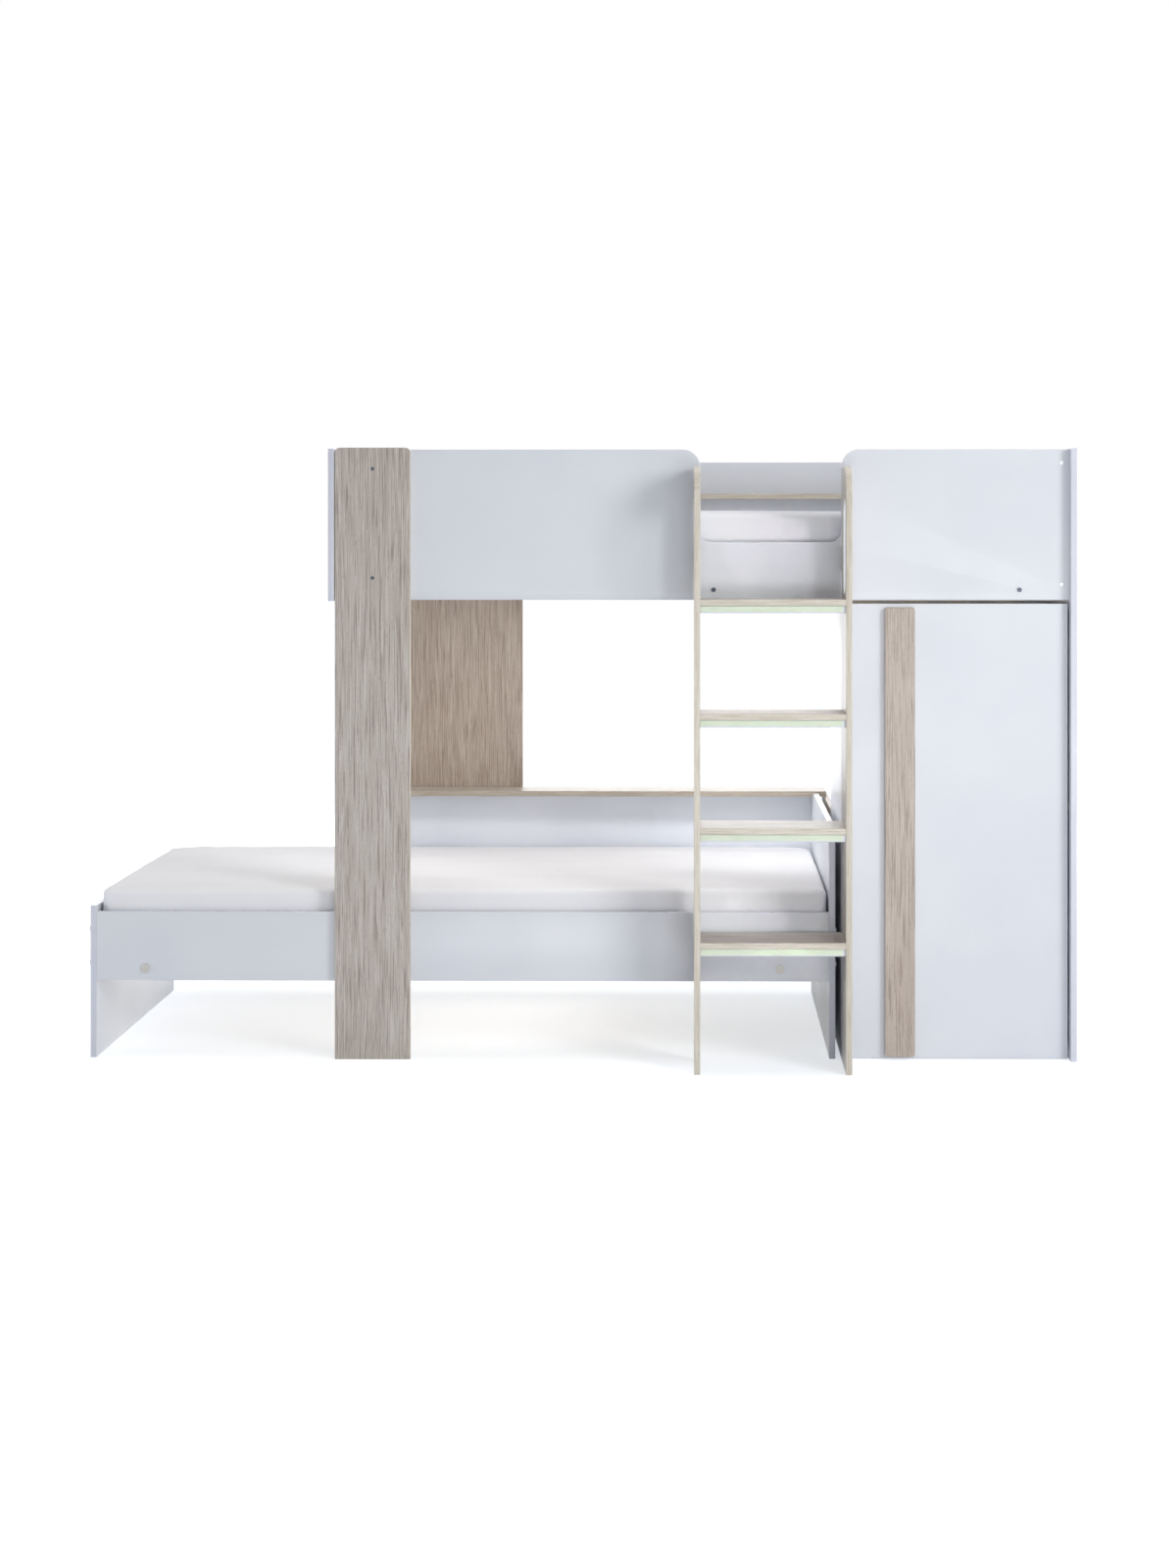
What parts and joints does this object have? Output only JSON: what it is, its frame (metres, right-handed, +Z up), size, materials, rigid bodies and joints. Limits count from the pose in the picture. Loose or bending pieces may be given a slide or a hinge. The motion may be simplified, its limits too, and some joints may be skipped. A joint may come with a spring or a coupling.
{
  "type": "bunk bed",
  "caption": "Offset bunk bed with a low bed, a raised bunk with guard panels, a treaded ladder and a wardrobe with a hinged door.",
  "frame": {"origin": "bottom centre of the whole object's box, on the floor", "axes": "+X along the beds from the foot of the lower bed to the wardrobe, +Y from the ladder side to the back, +Z up"},
  "size_m": [2.607, 1.191, 1.613],
  "materials": {
    "white_board": "satin white melamine on particle board",
    "oak_board": "light grey-brown oak melamine, fine straight grain",
    "oak_board_dark": "oak melamine, slightly darker",
    "pine": "planed bare pine",
    "beech": "fluted beech",
    "mattress_cloth": "white woven cotton sheet",
    "zinc_steel": "zinc plated",
    "nickel_steel": "nickel plated",
    "dark_steel": "blackened",
    "chrome_tube": "polished",
    "cream_plastic": "cream moulded cap",
    "white_plastic": "white moulded liner",
    "glow_film": "pale green film that glows in the dark"
  },
  "bodies": {
    "bunk_frame": {"lower_footboard": "white_board", "lower_headboard": "white_board", "lower_front_rail": "white_board", "lower_rear_rail": "white_board", "lower_back_board": "white_board", "back_ledge": "oak_board", "lower_battens": "pine", "lower_slats": "pine", "lower_mattress": "mattress_cloth", "lower_corner_bolts": "zinc_steel", "lower_barrel_nuts": "zinc_steel", "lower_batten_bolts": "zinc_steel", "rail_cover_caps": "cream_plastic", "ledge_dowels": "beech", "bunk_guard": "white_board", "bunk_left_end": "white_board", "bunk_back_panel": "white_board", "bunk_shelf": "oak_board", "bunk_battens": "pine", "bunk_slats": "pine", "bunk_mattress": "mattress_cloth", "front_post": "oak_board", "rear_oak_panel": "oak_board_dark", "post_screws": "dark_steel", "rear_panel_screws": "zinc_steel", "guard_ring_bolts": "dark_steel", "rear_batten_bolts": "dark_steel", "bunk_corner_bolts": "zinc_steel", "bunk_barrel_nuts": "zinc_steel", "bunk_shelf_screws": "zinc_steel", "ladder_stringer_left": "oak_board", "ladder_stringer_right": "oak_board", "slot_liner_left": "white_plastic", "slot_liner_right": "white_plastic", "tread_1": "oak_board", "tread_2": "oak_board", "tread_3": "oak_board", "tread_4": "oak_board", "tread_laths": "white_board", "glow_strips": "glow_film", "tread_screws": "zinc_steel", "ladder_spacers": "oak_board", "ladder_bolts": "zinc_steel", "ladder_nuts": "zinc_steel", "wardrobe_left_side": "white_board", "right_side_panel": "white_board", "wardrobe_bottom": "white_board", "wardrobe_top": "white_board", "wardrobe_shelf": "white_board", "wardrobe_back": "white_board", "wardrobe_screws": "zinc_steel", "hanging_rail": "chrome_tube", "rail_sockets": "zinc_steel", "rear_side_panel": "oak_board_dark", "hinge_arms": "nickel_steel", "hinge_plates": "nickel_steel"},
    "door": {"wardrobe_door": "white_board", "handle_plank": "oak_board", "handle_screws": "zinc_steel", "hinge_cups": "nickel_steel"}
  },
  "joints": [
    {"name": "door_hinge", "type": "hinge", "parent": "bunk_frame", "child": "door", "pos_m": [1.281, -0.3965, 0.603], "axis": [0, 0, 1], "range_deg": [0, 90]}
  ]
}
